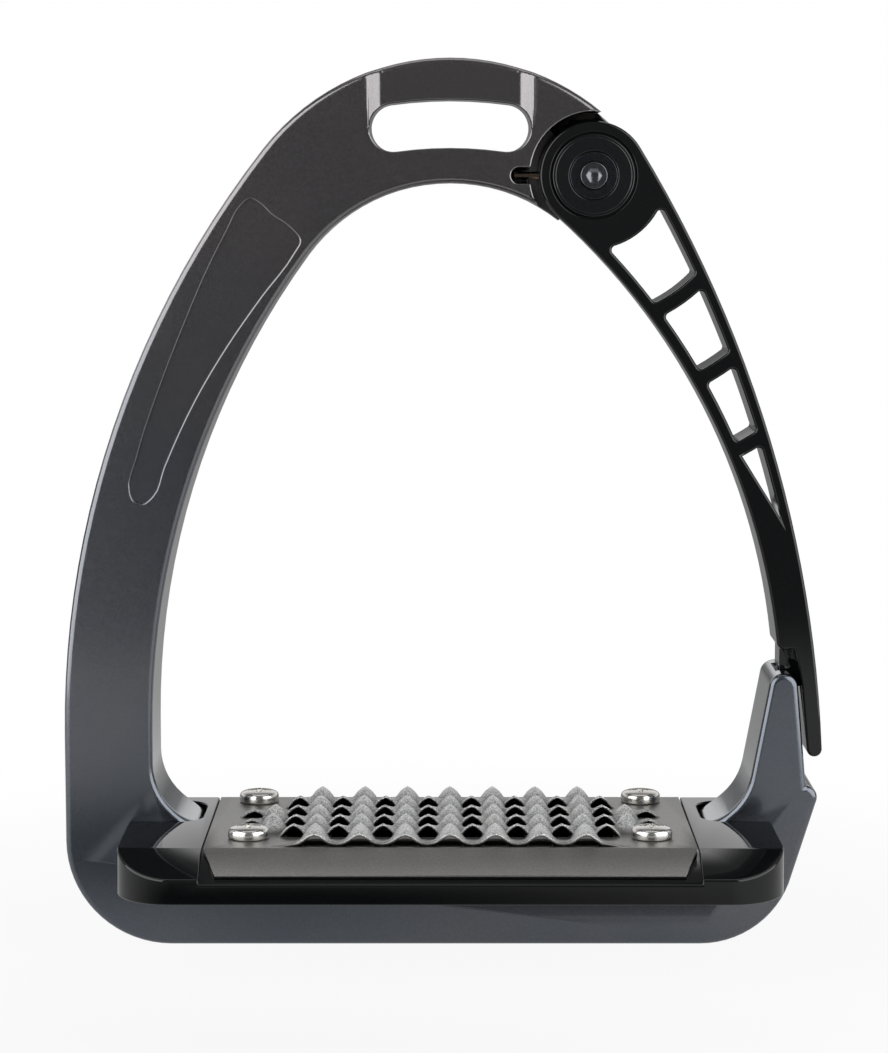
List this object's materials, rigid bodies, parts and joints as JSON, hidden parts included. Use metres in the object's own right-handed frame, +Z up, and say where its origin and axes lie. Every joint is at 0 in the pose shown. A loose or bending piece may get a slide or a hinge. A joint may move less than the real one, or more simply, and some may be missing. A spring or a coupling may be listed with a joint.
{
  "type": "stirrup iron",
  "caption": "Safety stirrup iron: cast arch with a slot for the leather, spring-closed hinged outer arm that swings open, and a louvered metal tread on a moulded tray.",
  "frame": {"origin": "on the flat ground face under the base bar, below the middle of the foot gap and at the middle of the casting's depth", "axes": "+X towards the hinged arm, +Y from front to back, +Z up to the leather slot"},
  "size_m": [0.1497, 0.0615, 0.1747],
  "materials": {
    "frame": "fine-grained gunmetal coating on cast light alloy",
    "release_arm": "gloss black moulded polymer",
    "arm_bush": "plain bearing bronze",
    "pivot_barrel": "turned steel",
    "pivot_screw": "dark oxide steel",
    "hub_cap": "turned black polymer",
    "screw_washer": "satin black ring",
    "front_washer": "natural nylon",
    "rear_washer": "natural nylon",
    "torsion_spring": "drawn spring wire",
    "tread_base": "gloss black moulded polymer",
    "tread_plate": "satin stainless sheet",
    "tread_screws": "bright stainless",
    "tread_inserts": "turned brass",
    "base_screws": "dark oxide steel",
    "base_inserts": "turned brass"
  },
  "bodies": {
    "iron": {"frame": "frame", "pivot_barrel": "pivot_barrel", "pivot_screw": "pivot_screw", "hub_cap": "hub_cap", "screw_washer": "screw_washer", "rear_washer": "rear_washer", "torsion_spring": "torsion_spring", "tread_base": "tread_base", "tread_plate": "tread_plate", "tread_screws": "tread_screws", "tread_inserts": "tread_inserts", "base_screws": "base_screws", "base_inserts": "base_inserts"},
    "arm": {"release_arm": "release_arm", "arm_bush": "arm_bush", "front_washer": "front_washer"}
  },
  "joints": [
    {"name": "arm_hinge", "type": "hinge", "parent": "iron", "child": "arm", "pos_m": [0.029, 0, 0.15203], "axis": [0, -1, 0], "range_deg": [0, 80], "stiffness_Nm_per_rad": 0.15, "springref_deg": -34.38, "deforming": ["torsion_spring"]}
  ]
}
